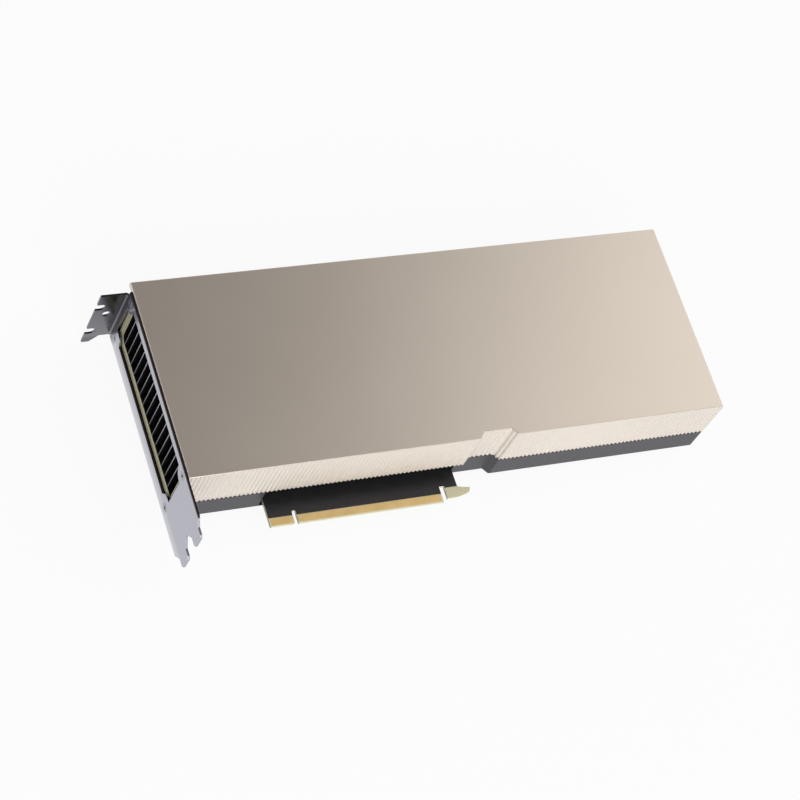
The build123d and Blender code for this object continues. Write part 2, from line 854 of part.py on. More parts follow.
def make_insulating_sheet():
    top = tray_floor + sheet_thickness
    gap = sheet_gap
    sheet = block(shroud_x0 + end_boss_length + gap, frame_x0 - end_boss_length - gap,
                  tray_inner_near + relief_depth + gap, tray_inner_far - gap, tray_floor, top)
    cuts = post_reliefs(tray_floor - overrun, top + overrun)
    for x, y in board_screw_places:
        cuts.append(upright(standoff_radius + gap, x, y, tray_floor - overrun, top + overrun))
    for x, y in back_pad_places():
        cuts.append(centred(x, y, back_pad_length + 2 * gap, back_pad_width + 2 * gap,
                            tray_floor - overrun, top + overrun))
    for cut in cuts:
        sheet = sheet - cut
    return sheet


def make_board_standoffs():
    spacers = []
    for x, y in board_screw_places:
        tube = upright(standoff_radius, x, y, tray_floor, board_z0)
        spacers.append(tube - upright(screw_radius, x, y, tray_floor - overrun, board_z0 + overrun))
    return spacers


# Power connector

def connector_span():
    """Width across the columns and height over the rows."""
    width = connector_columns * connector_pitch + 2 * connector_wall
    height = connector_rows * connector_pitch + 2 * connector_wall
    return width, height


def connector_cells():
    """Middle (y, z) of each of the connector's pin chambers."""
    cells = []
    for column in range(connector_columns):
        for row in range(connector_rows):
            y = connector_y + (column - (connector_columns - 1) / 2) * connector_pitch
            z = board_z1 + connector_wall + (row + 0.5) * connector_pitch
            cells.append((y, z))
    return cells


def make_connector_housing():
    width, height = connector_span()
    x1 = card_length - connector_inset
    x0 = x1 - connector_depth
    floor_x = x0 + connector_back
    body = block(x0, x1, connector_y - width / 2, connector_y + width / 2, board_z1, board_z1 + height)
    latch = block(floor_x, x1 - connector_wall, connector_y - connector_latch_width / 2,
                  connector_y + connector_latch_width / 2, board_z1 + height,
                  board_z1 + height + connector_latch_height)
    body = body + latch
    half = (connector_pitch - connector_wall / 2) / 2
    for y, z in connector_cells():
        body = body - block(floor_x, x1 + overrun, y - half, y + half, z - half, z + half)
        body = body - block(x0 - overrun, floor_x + overrun, y - pin_size / 2, y + pin_size / 2,
                            z - pin_size / 2, z + pin_size / 2)
    return body


def make_connector_pins():
    """Right-angled pins: through the housing's back, then down to the board."""
    x1 = card_length - connector_inset
    x0 = x1 - connector_depth
    half = pin_size / 2
    pins = []
    for y, z in connector_cells():
        row = round((z - board_z1) / connector_pitch)
        drop_x = x0 - row * 2 * pin_size
        run = block(drop_x, x0 + connector_back + pin_length, y - half, y + half, z - half, z + half)
        leg = block(drop_x - pin_size, drop_x, y - half, y + half, board_z1, z + half)
        pins.append(run + leg)
    return pins


# Rear frame round the air intake

def support_places():
    """Middle (y, z) of the tapped holes for a chassis support bracket, one a side."""
    near = shroud_inner_near + frame_gap + support_inset_y
    far = shroud_inner_far - frame_gap - support_inset_y
    return [(near, support_z), (far, support_z)]


def make_rear_frame():
    y0 = shroud_inner_near + frame_gap
    y1 = shroud_inner_far - frame_gap
    z0 = tray_floor + frame_gap
    z1 = shroud_under_z - frame_gap
    x0 = frame_x0
    x1 = card_length
    width, height = connector_span()
    gap = frame_cutout_gap
    frame = block(x0, x1, y0, y1, z0, z1)
    frame = frame - block(x0 - overrun, x1 + overrun, end_screw_near_y + frame_ear,
                          end_screw_far_y - frame_ear, frame_sill, z1 - frame_head)
    frame = frame - block(x0 - overrun, x1 + overrun, connector_y - width / 2 - gap,
                          connector_y + width / 2 + gap, board_z1 - gap, frame_sill + overrun)
    for y, z in support_places():
        frame = frame - round_level(support_hole_radius, x0 - overrun, x1 + overrun, y, z)
    for y, z in end_screw_places:
        frame = frame - Pos(x1, y, z) * Rot(0, -90, 0) * flat_head_seat(frame_sheet + overrun)
    return frame


# Screws

def make_bracket_screws():
    screw = flat_head_screw(shroud_x0 + end_screw_length)
    return [Pos(0, y, z) * Rot(0, 90, 0) * screw for y, z in end_screw_places]


def make_frame_screws():
    screw = flat_head_screw(frame_sheet + end_screw_length)
    return [Pos(card_length, y, z) * Rot(0, -90, 0) * screw for y, z in end_screw_places]


def make_tray_screws():
    screw = flat_head_screw(post_screw_length)
    return [Pos(x, y, 0) * screw for x, y in post_places]


def make_board_screws():
    screw = pan_head_screw(board_screw_length)
    return [Pos(x, y, board_z1) * screw for x, y in board_screw_places]


def make_heatsink_screws():
    screw = pan_head_screw(board_thickness + heatsink_lift + stud_tap_depth)
    return [Pos(x, y, board_z0) * Rot(180, 0, 0) * screw for x, y in stud_places]


# Every node, by the name of its file

nodes = {
    "top_shroud": [make_top_shroud()],
    "base_tray": [make_base_tray()],
    "mounting_bracket": [make_mounting_bracket()],
    "rear_frame": [make_rear_frame()],
    "circuit_board": [make_circuit_board()],
    "edge_contacts_front": make_contacts(board_z1),
    "edge_contacts_back": make_contacts(board_z0 - contact_thickness),
    "heatsink_base": [make_heatsink_base()],
    "heatsink_fins": make_heatsink_fins(),
    "foam_seal_strips": make_foam_strips(),
    "processor_substrate": [centred(processor_x, processor_y, package_size, package_size,
                                    board_z1, package_top)],
    "processor_die": [centred(processor_x, processor_y, die_length, die_width, package_top, die_top)],
    "memory_stacks": make_memory_stacks(),
    "stiffener_ring": [make_stiffener_ring()],
    "thermal_interface_pad": [make_interface_pad()],
    "power_inductors": component_rows(inductor_offset, inductor_length, inductor_width,
                                      board_z1, board_z1 + inductor_height),
    "power_stages": component_rows(stage_offset, stage_length, stage_width,
                                   board_z1, board_z1 + stage_height),
    "power_stage_pads": make_stage_pads(),
    "chip_capacitors": component_rows(capacitor_offset, capacitor_length, capacitor_width,
                                      board_z1, board_z1 + capacitor_height),
    "controller_chips": make_controller_chips(),
    "back_thermal_pads": make_back_pads(),
    "insulating_sheet": [make_insulating_sheet()],
    "board_standoffs": make_board_standoffs(),
    "power_connector_housing": [make_connector_housing()],
    "power_connector_pins": make_connector_pins(),
    "bracket_screws": make_bracket_screws(),
    "rear_frame_screws": make_frame_screws(),
    "tray_screws": make_tray_screws(),
    "board_screws": make_board_screws(),
    "heatsink_screws": make_heatsink_screws(),
}

os.makedirs("parts", exist_ok=True)
to_origin = Pos(-origin[0], -origin[1], -origin[2])
for name, pieces in nodes.items():
    moved = [to_origin * piece for piece in pieces]
    solids = [solid for piece in moved for solid in piece.solids()]
    shape = solids[0] if len(solids) == 1 else Compound(children=solids)
    export_step(shape, f"parts/{name}.step")
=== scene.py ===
import json
import math

import bmesh
import bpy
from mathutils import Matrix, Vector

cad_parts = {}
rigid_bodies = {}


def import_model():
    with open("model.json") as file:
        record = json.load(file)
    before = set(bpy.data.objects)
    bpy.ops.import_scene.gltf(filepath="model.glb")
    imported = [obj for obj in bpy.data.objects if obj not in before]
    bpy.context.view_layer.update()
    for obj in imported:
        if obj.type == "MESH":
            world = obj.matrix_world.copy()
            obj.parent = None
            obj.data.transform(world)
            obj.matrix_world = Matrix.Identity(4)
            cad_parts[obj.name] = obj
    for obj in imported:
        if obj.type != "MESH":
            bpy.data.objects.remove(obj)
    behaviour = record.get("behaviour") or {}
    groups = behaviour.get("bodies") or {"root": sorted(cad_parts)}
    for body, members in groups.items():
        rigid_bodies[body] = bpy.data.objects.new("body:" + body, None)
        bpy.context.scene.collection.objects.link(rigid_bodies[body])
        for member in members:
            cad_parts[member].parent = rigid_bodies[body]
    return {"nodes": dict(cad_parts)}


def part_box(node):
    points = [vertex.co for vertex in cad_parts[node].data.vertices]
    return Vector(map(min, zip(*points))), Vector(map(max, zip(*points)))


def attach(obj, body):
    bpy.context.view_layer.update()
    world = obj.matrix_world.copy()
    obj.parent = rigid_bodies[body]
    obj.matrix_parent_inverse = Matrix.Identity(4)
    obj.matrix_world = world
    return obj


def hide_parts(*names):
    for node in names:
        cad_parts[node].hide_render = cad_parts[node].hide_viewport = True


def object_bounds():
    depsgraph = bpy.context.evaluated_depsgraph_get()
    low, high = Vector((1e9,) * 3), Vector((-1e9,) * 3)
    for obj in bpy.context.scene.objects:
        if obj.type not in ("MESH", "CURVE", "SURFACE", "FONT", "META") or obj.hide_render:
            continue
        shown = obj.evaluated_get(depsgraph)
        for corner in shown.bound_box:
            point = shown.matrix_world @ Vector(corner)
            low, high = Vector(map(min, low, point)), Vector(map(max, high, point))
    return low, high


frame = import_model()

cad_low, cad_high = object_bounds()

# Camera
# Placed by fitting the card's standard outlines to the photograph.
# The photograph is square and was taken with a long lens from above the contact side.
lens_mm = 123.8
camera_at = Vector((-0.53345, -0.49914, 1.03974))
camera_right = Vector((0.9001, -0.2961, 0.3196))
camera_forward = Vector((0.4205, 0.3987, -0.8150))

camera_back = -camera_forward.normalized()
camera_up = camera_back.cross(camera_right).normalized()
camera_right = camera_up.cross(camera_back)
camera_turn = Matrix((camera_right, camera_up, camera_back)).transposed()

bpy.ops.object.camera_add()
camera = bpy.context.object
camera.name = "camera"
camera.matrix_world = Matrix.Translation(camera_at) @ camera_turn.to_4x4()
camera.data.lens = lens_mm
camera.data.sensor_width = 36.0
camera.data.clip_start = 0.05
camera.data.clip_end = 50.0
bpy.context.scene.camera = camera
bpy.context.scene.view_settings.view_transform = "Standard"


# Studio
# A white paper floor in a room that darkens upwards, with a large round softbox beyond the intake
# end and a smaller one on the contact side. The large one's edge is mirrored across the shroud,
# which gives its fade from left to right.
floor_size = 8.0
floor_drop = 0.0002
paper_glow = 0.92


def linear(code):
    """An sRGB hex colour as linear RGBA."""
    parts = [int(code[i:i + 2], 16) / 255 for i in (1, 3, 5)]
    return [c / 12.92 if c <= 0.04045 else ((c + 0.055) / 1.055) ** 2.4 for c in parts] + [1.0]


def add_node(tree, kind, values=None, links=None, **settings):
    """Adds a node with its settings, its sockets' values and its links from other nodes' outputs."""
    node = tree.nodes.new(kind)
    for name, value in settings.items():
        setattr(node, name, value)
    for socket, value in (values or {}).items():
        node.inputs[socket].default_value = value
    for socket, source in (links or {}).items():
        tree.links.new(source, node.inputs[socket])
    return node


def softbox(name, azimuth, elevation, distance, size, radiance):
    """A round white lamp that faces the card from a direction in degrees, as bright as its radiance."""
    turn = math.radians(azimuth)
    rise = math.radians(elevation)
    away = Vector((math.cos(rise) * math.cos(turn), math.cos(rise) * math.sin(turn), math.sin(rise)))
    bpy.ops.object.light_add(type="AREA", location=away * distance)
    lamp = bpy.context.object
    lamp.name = name
    lamp.data.shape = "DISK"
    lamp.data.size = size
    lamp.data.energy = radiance * math.pi * math.pi * size * size / 4
    lamp.rotation_mode = "QUATERNION"
    lamp.rotation_quaternion = away.to_track_quat("Z", "Y")


softbox("intake_side_softbox", azimuth=6, elevation=34, distance=2.4, size=3.0, radiance=0.93)
softbox("contact_side_softbox", azimuth=-95, elevation=35, distance=2.4, size=1.6, radiance=4.2)

world = bpy.data.worlds.new("studio_room")
bpy.context.scene.world = world
world.use_nodes = True
room = world.node_tree
room.nodes.clear()
room_at = add_node(room, "ShaderNodeTexCoord")
room_split = add_node(room, "ShaderNodeSeparateXYZ", links={0: room_at.outputs["Generated"]})
room_fade = add_node(room, "ShaderNodeMapRange", {"From Min": 0.15, "From Max": 0.75},
                     {"Value": room_split.outputs["Z"]})
room_tone = add_node(room, "ShaderNodeMix", {6: linear("#FFFFFF"), 7: linear("#7C7C7E")},
                     {0: room_fade.outputs[0]}, data_type="RGBA")
room_glow = add_node(room, "ShaderNodeBackground", links={"Color": room_tone.outputs[2]})
add_node(room, "ShaderNodeOutputWorld", links={"Surface": room_glow.outputs[0]})

bpy.ops.object.select_all(action="DESELECT")
bpy.ops.mesh.primitive_grid_add(x_subdivisions=2, y_subdivisions=2, size=floor_size,
                                location=(0, 0, cad_low.z - floor_drop))
floor = bpy.context.object
floor.name = "floor"
bpy.ops.object.transform_apply(location=True, rotation=True, scale=True)

# White paper: an even white of its own to the camera and in mirrored rays, with a share of matt
# paper that takes the card's faint shadow, and plain matt paper to the light that it scatters.
floor_paper = bpy.data.materials.new("white_paper_sweep")
floor_paper.use_nodes = True
paper = floor_paper.node_tree
paper.nodes.clear()
paper_rays = add_node(paper, "ShaderNodeLightPath")
paper_seen = add_node(paper, "ShaderNodeMath", links={
    0: paper_rays.outputs["Is Camera Ray"], 1: paper_rays.outputs["Is Glossy Ray"]}, operation="MAXIMUM")
paper_through = add_node(paper, "ShaderNodeMath", links={
    0: paper_seen.outputs[0], 1: paper_rays.outputs["Is Transmission Ray"]}, operation="MAXIMUM")
paper_lift = add_node(paper, "ShaderNodeMath", {1: paper_glow}, {0: paper_through.outputs[0]},
                      operation="MULTIPLY")
paper_diffuse = add_node(paper, "ShaderNodeBsdfDiffuse", {"Color": linear("#F2F2F2")})
paper_white = add_node(paper, "ShaderNodeEmission", {"Color": linear("#FFFFFF")})
paper_mix = add_node(paper, "ShaderNodeMixShader", links={
    0: paper_lift.outputs[0], 1: paper_diffuse.outputs[0], 2: paper_white.outputs[0]})
add_node(paper, "ShaderNodeOutputMaterial", links={"Surface": paper_mix.outputs[0]})
floor.data.materials.append(floor_paper)


# Back tray and rear frame
# A shallow aluminium tray under the board and a frame round the air intake, both powder-coated
# dark grey. The bracket and the frame are screwed to blocks at their corners.
weld_distance = 0.000005
flat_within_degrees = 1
sharp_from_degrees = 40


def new_finish(name):
    """An empty node material, and its tree."""
    material = bpy.data.materials.new(name)
    material.use_nodes = True
    material.node_tree.nodes.clear()
    return material, material.node_tree


def dress(material, *nodes):
    """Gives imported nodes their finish."""
    for node in nodes:
        for slot in frame["nodes"][node].material_slots:
            slot.material = material


def pick(piece, kind, wanted):
    """In edit mode, selects just the faces, edges or vertices that are wanted."""
    bpy.ops.mesh.select_mode(type={"faces": "FACE", "edges": "EDGE", "verts": "VERT"}[kind])
    bpy.ops.mesh.select_all(action="DESELECT")
    mesh = bmesh.from_edit_mesh(piece.data)
    for part in getattr(mesh, kind):
        part.select_set(wanted(part))
    bmesh.update_edit_mesh(piece.data)


def merged_copy(node):
    """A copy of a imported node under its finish, with its triangles merged into whole faces."""
    bpy.ops.object.select_all(action="DESELECT")
    frame["nodes"][node].select_set(True)
    bpy.context.view_layer.objects.active = frame["nodes"][node]
    bpy.ops.object.duplicate()
    copy = bpy.context.object
    copy.name = f"{node}_rounded"
    bpy.ops.object.parent_clear(type="CLEAR_KEEP_TRANSFORM")
    bpy.ops.object.mode_set(mode="EDIT")
    bpy.ops.mesh.select_all(action="SELECT")
    bpy.ops.mesh.remove_doubles(threshold=weld_distance)
    bpy.ops.mesh.dissolve_limited(angle_limit=math.radians(flat_within_degrees))
    bpy.ops.object.mode_set(mode="OBJECT")
    return copy


def round_edges(piece, width, node):
    """Rounds a piece's sharp edges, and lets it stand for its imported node."""
    rounding = piece.modifiers.new("rounding", "BEVEL")
    rounding.width = width
    rounding.segments = 2
    rounding.limit_method = "ANGLE"
    rounding.angle_limit = math.radians(sharp_from_degrees)
    bpy.context.view_layer.objects.active = piece
    bpy.ops.object.modifier_apply(modifier="rounding")
    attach(piece, "root")
    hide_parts(node)


# Powder coat: orange peel about 0.8 mm across that breaks the gloss, and rounds the bent edges.
coated_edge = 0.0002
edge_highlight = 0.0003
powder, tree = new_finish("dark_grey_powder_coat")
at = add_node(tree, "ShaderNodeTexCoord")
peel = add_node(tree, "ShaderNodeTexNoise", {"Scale": 1 / 0.0008, "Detail": 2.0},
                {"Vector": at.outputs["Object"]})
tone = add_node(tree, "ShaderNodeMix", {6: linear("#38373D"), 7: linear("#414045")},
                {0: peel.outputs["Fac"]}, data_type="RGBA")
round_edge = add_node(tree, "ShaderNodeBevel", {"Radius": edge_highlight}, samples=4)
relief = add_node(tree, "ShaderNodeBump", {"Distance": 0.00001},
                  {"Height": peel.outputs["Fac"], "Normal": round_edge.outputs[0]})
gloss = add_node(tree, "ShaderNodeMapRange", {"To Min": 0.42, "To Max": 0.52},
                 {"Value": peel.outputs["Fac"]})
skin = add_node(tree, "ShaderNodeBsdfPrincipled", {"IOR": 1.5}, {
    "Base Color": tone.outputs[2], "Roughness": gloss.outputs[0], "Normal": relief.outputs[0]})
add_node(tree, "ShaderNodeOutputMaterial", links={"Surface": skin.outputs[0]})
dress(powder, "base_tray", "rear_frame")
for node in ("base_tray", "rear_frame"):
    round_edges(merged_copy(node), coated_edge, node)


# Insulating film and thermal pads
# A black polyester film lies between the board and the tray, and soft grey pads carry heat
# from the board's back to the tray and from the power stages to the heat sink.

# Polyester film: slow waves about 12 mm long under a semi-gloss, from lying on the board.
film, tree = new_finish("black_polyester_film")
at = add_node(tree, "ShaderNodeTexCoord")
waves = add_node(tree, "ShaderNodeTexNoise", {"Scale": 1 / 0.012, "Detail": 2.0},
                 {"Vector": at.outputs["Object"]})
tone = add_node(tree, "ShaderNodeMix", {6: linear("#1B1B1D"), 7: linear("#232326")},
                {0: waves.outputs["Fac"]}, data_type="RGBA")
relief = add_node(tree, "ShaderNodeBump", {"Distance": 0.0002}, {"Height": waves.outputs["Fac"]})
gloss = add_node(tree, "ShaderNodeMapRange", {"To Min": 0.3, "To Max": 0.4},
                 {"Value": waves.outputs["Fac"]})
skin = add_node(tree, "ShaderNodeBsdfPrincipled", {"IOR": 1.57}, {
    "Base Color": tone.outputs[2], "Roughness": gloss.outputs[0], "Normal": relief.outputs[0]})
add_node(tree, "ShaderNodeOutputMaterial", links={"Surface": skin.outputs[0]})
dress(film, "insulating_sheet")

# Filled silicone: a dull grey putty with grains of filler 0.5 mm apart and a dented skin.
putty, tree = new_finish("grey_filled_silicone")
at = add_node(tree, "ShaderNodeTexCoord")
filler = add_node(tree, "ShaderNodeTexNoise", {"Scale": 1 / 0.0005, "Detail": 3.0},
                  {"Vector": at.outputs["Object"]})
tone = add_node(tree, "ShaderNodeMix", {6: linear("#83848A"), 7: linear("#96979B")},
                {0: filler.outputs["Fac"]}, data_type="RGBA")
relief = add_node(tree, "ShaderNodeBump", {"Distance": 0.00003}, {"Height": filler.outputs["Fac"]})
gloss = add_node(tree, "ShaderNodeMapRange", {"To Min": 0.7, "To Max": 0.8},
                 {"Value": filler.outputs["Fac"]})
skin = add_node(tree, "ShaderNodeBsdfPrincipled", {"IOR": 1.41}, {
    "Base Color": tone.outputs[2], "Roughness": gloss.outputs[0], "Normal": relief.outputs[0]})
add_node(tree, "ShaderNodeOutputMaterial", links={"Surface": skin.outputs[0]})
dress(putty, "thermal_interface_pad", "power_stage_pads", "back_thermal_pads")


# Circuit board
# Glass-fibre laminate 1.57 mm thick under a matt black solder mask, standing on spacers in
# the tray. The mask stops at the contacts and on the latch hook, which show bare laminate.

# The card's own frame starts at the bracket's outer face, the contact edge and the tray's underside.
row_from_card = Vector((cad_low.x + 0.0124, cad_low.y + 0.01342, cad_low.z + 0.00424))
contact_mask_end = 0.0043
hook_mask_end = 0.0070
hook_start_x = 0.1332

# Solder mask on laminate: a soft black sheen with patches 4 mm across that rises a little over
# the copper areas, 5 mm apart. Where the mask stops, the weave of the laminate shows. The edge
# that goes in first is milled and pale, and the board's other side faces are a darker tone. A wave
# texture of Scale 1 repeats every 0.314 m.
copper_pitch = 0.005
wave_period = 0.314
edge_tilt = 0.3
mask, tree = new_finish("black_solder_mask_on_laminate")
at = add_node(tree, "ShaderNodeTexCoord")
card = add_node(tree, "ShaderNodeVectorMath", {1: row_from_card}, {0: at.outputs["Object"]},
                operation="SUBTRACT")
place = add_node(tree, "ShaderNodeSeparateXYZ", links={0: card.outputs[0]})
by_contacts = add_node(tree, "ShaderNodeMath", {1: contact_mask_end}, {0: place.outputs["Y"]},
                       operation="LESS_THAN")
past_slot = add_node(tree, "ShaderNodeMath", {1: hook_start_x}, {0: place.outputs["X"]},
                     operation="GREATER_THAN")
below_neck = add_node(tree, "ShaderNodeMath", {1: hook_mask_end}, {0: place.outputs["Y"]},
                      operation="LESS_THAN")
on_hook = add_node(tree, "ShaderNodeMath", links={0: past_slot.outputs[0], 1: below_neck.outputs[0]},
                   operation="MULTIPLY")
bare = add_node(tree, "ShaderNodeMath", links={0: by_contacts.outputs[0], 1: on_hook.outputs[0]},
                operation="MAXIMUM")
weave = add_node(tree, "ShaderNodeTexNoise", {"Scale": 1 / 0.0006, "Detail": 2.0},
                 {"Vector": at.outputs["Object"]})
laminate = add_node(tree, "ShaderNodeMix", {6: linear("#D2CDA6"), 7: linear("#E2DEBE")},
                    {0: weave.outputs["Fac"]}, data_type="RGBA")
patches = add_node(tree, "ShaderNodeTexNoise", {"Scale": 1 / 0.004, "Detail": 3.0},
                   {"Vector": at.outputs["Object"]})
coat = add_node(tree, "ShaderNodeMix", {6: linear("#19191C"), 7: linear("#2B2A2C")},
                {0: patches.outputs["Fac"]}, data_type="RGBA")
face_tone = add_node(tree, "ShaderNodeMix", links={
    0: bare.outputs[0], 6: coat.outputs[2], 7: laminate.outputs[2]}, data_type="RGBA")
flat = add_node(tree, "ShaderNodeNewGeometry")
facing = add_node(tree, "ShaderNodeSeparateXYZ", links={0: flat.outputs["True Normal"]})
upright = add_node(tree, "ShaderNodeMath", links={0: facing.outputs["Z"]}, operation="ABSOLUTE")
sawn = add_node(tree, "ShaderNodeMath", {1: edge_tilt}, {0: upright.outputs[0]}, operation="LESS_THAN")
leading = add_node(tree, "ShaderNodeMath", {1: -edge_tilt}, {0: facing.outputs["Y"]}, operation="LESS_THAN")
# Side faces get a darker tone, except the edge that goes in first.
edge_tone = add_node(tree, "ShaderNodeMix", {6: linear("#BDB9A6"), 7: linear("#F8F4E6")},
                     {0: leading.outputs[0]}, data_type="RGBA")
board_tone = add_node(tree, "ShaderNodeMix", links={
    0: sawn.outputs[0], 6: face_tone.outputs[2], 7: edge_tone.outputs[2]}, data_type="RGBA")
copper = add_node(tree, "ShaderNodeTexWave", {
    "Scale": wave_period / copper_pitch, "Distortion": 0.6, "Detail Scale": 40.0},
    {"Vector": at.outputs["Object"]}, bands_direction="X")
relief = add_node(tree, "ShaderNodeBump", {"Distance": 0.00002, "Strength": 0.5},
                  {"Height": copper.outputs["Fac"]})
gloss = add_node(tree, "ShaderNodeMapRange", {"To Min": 0.35, "To Max": 0.5},
                 {"Value": patches.outputs["Fac"]})
skin = add_node(tree, "ShaderNodeBsdfPrincipled", {"IOR": 1.5}, {
    "Base Color": board_tone.outputs[2], "Roughness": gloss.outputs[0], "Normal": relief.outputs[0]})
add_node(tree, "ShaderNodeOutputMaterial", links={"Surface": skin.outputs[0]})
dress(mask, "circuit_board")


# Edge contacts and connector pins
# Copper pads on both faces of the tab, which slide into the slot, and the power connector's
# bent square pins, all under the same plating.

# Hard gold: a warm satin mirror. Wiping leaves lines 0.15 mm apart along the pads' length, and the
# tone is deeper where the bath laid the gold on thicker, in patches some 9 mm across.
gold, tree = new_finish("hard_gold_plate")
at = add_node(tree, "ShaderNodeTexCoord")
along = add_node(tree, "ShaderNodeMapping", {"Scale": (1, 0.1, 1)}, {"Vector": at.outputs["Object"]})
wiped = add_node(tree, "ShaderNodeTexNoise", {"Scale": 1 / 0.00015, "Detail": 2.0},
                 {"Vector": along.outputs[0]})
wiped_tone = add_node(tree, "ShaderNodeMix", {6: linear("#F3CF87"), 7: linear("#FADD9C")},
                      {0: wiped.outputs["Fac"]}, data_type="RGBA")
bath = add_node(tree, "ShaderNodeTexNoise", {"Scale": 1 / 0.009, "Detail": 2.0},
                {"Vector": at.outputs["Object"]})
thick = add_node(tree, "ShaderNodeMapRange", {"From Min": 0.4, "From Max": 0.6, "To Max": 0.35},
                 {"Value": bath.outputs["Fac"]})
tone = add_node(tree, "ShaderNodeMix", {7: linear("#E3B25C")},
                {0: thick.outputs[0], 6: wiped_tone.outputs[2]}, data_type="RGBA")
relief = add_node(tree, "ShaderNodeBump", {"Distance": 0.000002}, {"Height": wiped.outputs["Fac"]})
gloss = add_node(tree, "ShaderNodeMapRange", {"To Min": 0.42, "To Max": 0.5},
                 {"Value": wiped.outputs["Fac"]})
skin = add_node(tree, "ShaderNodeBsdfPrincipled", {"Metallic": 1.0}, {
    "Base Color": tone.outputs[2], "Roughness": gloss.outputs[0], "Normal": relief.outputs[0]})
add_node(tree, "ShaderNodeOutputMaterial", links={"Surface": skin.outputs[0]})
dress(gold, "edge_contacts_front", "edge_contacts_back", "power_connector_pins")


# Chips and package
# The processor is a bare die between memory stacks on a green laminate, with a plated ring
# round them. Chokes, power stages, capacitors and controllers are soldered beside it.

# Moulded epoxy: a matt black with the mould's spark-eroded grain, 0.3 mm across.
epoxy, tree = new_finish("moulded_black_epoxy")
at = add_node(tree, "ShaderNodeTexCoord")
mould = add_node(tree, "ShaderNodeTexNoise", {"Scale": 1 / 0.0003, "Detail": 3.0},
                 {"Vector": at.outputs["Object"]})
tone = add_node(tree, "ShaderNodeMix", {6: linear("#1C1C1E"), 7: linear("#262628")},
                {0: mould.outputs["Fac"]}, data_type="RGBA")
relief = add_node(tree, "ShaderNodeBump", {"Distance": 0.000006}, {"Height": mould.outputs["Fac"]})
gloss = add_node(tree, "ShaderNodeMapRange", {"To Min": 0.5, "To Max": 0.6},
                 {"Value": mould.outputs["Fac"]})
skin = add_node(tree, "ShaderNodeBsdfPrincipled", {"IOR": 1.55}, {
    "Base Color": tone.outputs[2], "Roughness": gloss.outputs[0], "Normal": relief.outputs[0]})
add_node(tree, "ShaderNodeOutputMaterial", links={"Surface": skin.outputs[0]})
dress(epoxy, "power_stages", "chip_capacitors", "controller_chips")

# Pressed ferrite: a grey-black powder compact with grains 0.4 mm across and a faint metal glint.
ferrite, tree = new_finish("pressed_ferrite_powder")
at = add_node(tree, "ShaderNodeTexCoord")
grains = add_node(tree, "ShaderNodeTexVoronoi", {"Scale": 1 / 0.0004}, {"Vector": at.outputs["Object"]})
tone = add_node(tree, "ShaderNodeMix", {6: linear("#323234"), 7: linear("#434345")},
                {0: grains.outputs["Distance"]}, data_type="RGBA")
relief = add_node(tree, "ShaderNodeBump", {"Distance": 0.00001}, {"Height": grains.outputs["Distance"]})
gloss = add_node(tree, "ShaderNodeMapRange", {"To Min": 0.5, "To Max": 0.7},
                 {"Value": grains.outputs["Distance"]})
skin = add_node(tree, "ShaderNodeBsdfPrincipled", {"Metallic": 0.2}, {
    "Base Color": tone.outputs[2], "Roughness": gloss.outputs[0], "Normal": relief.outputs[0]})
add_node(tree, "ShaderNodeOutputMaterial", links={"Surface": skin.outputs[0]})
dress(ferrite, "power_inductors")

# Package laminate: green mask over fine copper, seen as patches 0.8 mm across under a soft gloss.
substrate, tree = new_finish("green_package_laminate")
at = add_node(tree, "ShaderNodeTexCoord")
copper = add_node(tree, "ShaderNodeTexNoise", {"Scale": 1 / 0.0008, "Detail": 3.0},
                  {"Vector": at.outputs["Object"]})
tone = add_node(tree, "ShaderNodeMix", {6: linear("#27432F"), 7: linear("#31523C")},
                {0: copper.outputs["Fac"]}, data_type="RGBA")
relief = add_node(tree, "ShaderNodeBump", {"Distance": 0.000004}, {"Height": copper.outputs["Fac"]})
gloss = add_node(tree, "ShaderNodeMapRange", {"To Min": 0.35, "To Max": 0.45},
                 {"Value": copper.outputs["Fac"]})
skin = add_node(tree, "ShaderNodeBsdfPrincipled", {"IOR": 1.5}, {
    "Base Color": tone.outputs[2], "Roughness": gloss.outputs[0], "Normal": relief.outputs[0]})
add_node(tree, "ShaderNodeOutputMaterial", links={"Surface": skin.outputs[0]})
dress(substrate, "processor_substrate")

# Ground silicon: a blue-grey mirror, faintly clouded by grinding marks 2 mm apart.
silicon, tree = new_finish("ground_silicon")
at = add_node(tree, "ShaderNodeTexCoord")
marks = add_node(tree, "ShaderNodeTexNoise", {"Scale": 1 / 0.002, "Detail": 2.0},
                 {"Vector": at.outputs["Object"]})
tone = add_node(tree, "ShaderNodeMix", {6: linear("#4F5159"), 7: linear("#5A5C64")},
                {0: marks.outputs["Fac"]}, data_type="RGBA")
relief = add_node(tree, "ShaderNodeBump", {"Distance": 0.000001}, {"Height": marks.outputs["Fac"]})
gloss = add_node(tree, "ShaderNodeMapRange", {"To Min": 0.1, "To Max": 0.2},
                 {"Value": marks.outputs["Fac"]})
skin = add_node(tree, "ShaderNodeBsdfPrincipled", {"Metallic": 0.6}, {
    "Base Color": tone.outputs[2], "Roughness": gloss.outputs[0], "Normal": relief.outputs[0]})
add_node(tree, "ShaderNodeOutputMaterial", links={"Surface": skin.outputs[0]})
dress(silicon, "processor_die", "memory_stacks")

